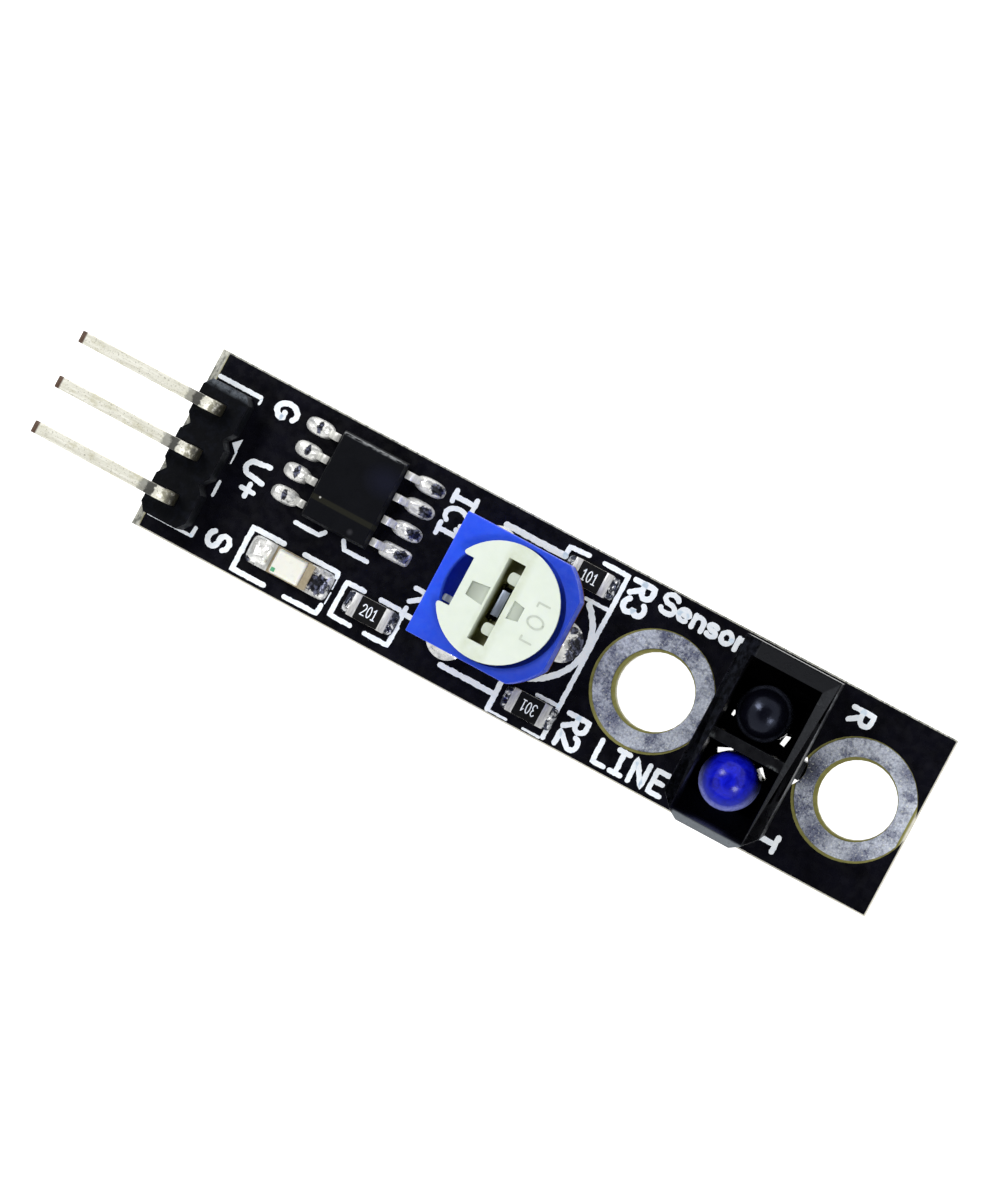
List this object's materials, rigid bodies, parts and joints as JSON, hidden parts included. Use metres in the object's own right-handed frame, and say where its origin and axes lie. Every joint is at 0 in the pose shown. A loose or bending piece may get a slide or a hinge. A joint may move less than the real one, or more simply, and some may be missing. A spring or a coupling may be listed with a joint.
{
  "type": "infrared line-tracking sensor module",
  "caption": "Narrow black circuit board with a bent pin header, a comparator, a blue trimmer with a white rotor, a reflective optical sensor and ringed mounting holes.",
  "frame": {"origin": "bottom centre of the bounding box, on the plane that the header tails and the snap hooks rest on", "axes": "+X from the pin header towards the optical sensor, +Y across the board, +Z out of the component side"},
  "size_m": [0.0482, 0.01, 0.0104],
  "materials": {
    "board": "glossy black solder mask over glass-epoxy laminate",
    "tinned_copper": "tinned copper, mottled and scratched",
    "solder": "bright solder",
    "black_nylon": "black moulded nylon, satin",
    "moulded_epoxy": "black moulding compound, fine grained",
    "tinned_lead": "tinned leads and pins, drawn finish",
    "chip_ceramic": "black glazed chip body",
    "led_lens": "translucent cream epoxy",
    "led_laminate": "pale laminate",
    "phenolic": "brown phenolic",
    "blue_plastic": "saturated blue moulded plastic, satin",
    "ivory_plastic": "ivory white moulded plastic",
    "wiper_steel": "sprung sheet metal",
    "blue_epoxy": "clear blue epoxy lens",
    "black_epoxy": "daylight-blocking black epoxy lens"
  },
  "bodies": {
    "board_assembly": {"circuit_board": "board", "hole_ring_top_1": "tinned_copper", "hole_ring_under_1": "tinned_copper", "hole_ring_top_2": "tinned_copper", "hole_ring_under_2": "tinned_copper", "header_housing": "black_nylon", "header_pin_1": "tinned_lead", "header_solder_1": "solder", "header_pin_2": "tinned_lead", "header_solder_2": "solder", "header_pin_3": "tinned_lead", "header_solder_3": "solder", "comparator_body": "moulded_epoxy", "comparator_lead_1": "solder", "comparator_lead_2": "solder", "comparator_lead_3": "solder", "comparator_lead_4": "solder", "comparator_lead_5": "solder", "comparator_lead_6": "solder", "comparator_lead_7": "solder", "comparator_lead_8": "solder", "resistor_1": "chip_ceramic", "resistor_1_end_left": "tinned_copper", "resistor_1_end_right": "tinned_copper", "resistor_2": "chip_ceramic", "resistor_2_end_left": "tinned_copper", "resistor_2_end_right": "tinned_copper", "resistor_3": "chip_ceramic", "resistor_3_end_left": "tinned_copper", "resistor_3_end_right": "tinned_copper", "led_base": "led_laminate", "led_lens": "led_lens", "led_end_left": "tinned_copper", "led_end_right": "tinned_copper", "trimmer_case": "blue_plastic", "trimmer_substrate": "phenolic", "trimmer_terminal_1": "tinned_lead", "trimmer_solder_top_1": "solder", "trimmer_solder_under_1": "solder", "trimmer_terminal_2": "tinned_lead", "trimmer_solder_top_2": "solder", "trimmer_solder_under_2": "solder", "trimmer_terminal_3": "tinned_lead", "trimmer_solder_top_3": "solder", "trimmer_solder_under_3": "solder", "sensor_housing": "black_nylon", "sensor_emitter": "blue_epoxy", "sensor_detector": "black_epoxy", "sensor_lead_1": "tinned_lead", "sensor_solder_1": "solder", "sensor_lead_2": "tinned_lead", "sensor_solder_2": "solder", "sensor_lead_3": "tinned_lead", "sensor_solder_3": "solder", "sensor_lead_4": "tinned_lead", "sensor_solder_4": "solder"},
    "rotor": {"trimmer_rotor": "ivory_plastic", "trimmer_wiper": "wiper_steel"}
  },
  "joints": [
    {"name": "rotor_turn", "type": "hinge", "parent": "board_assembly", "child": "rotor", "pos_m": [0.00079, 0.00032, 0.0079], "axis": [0, 0, 1], "range_deg": [-105, 105]}
  ]
}
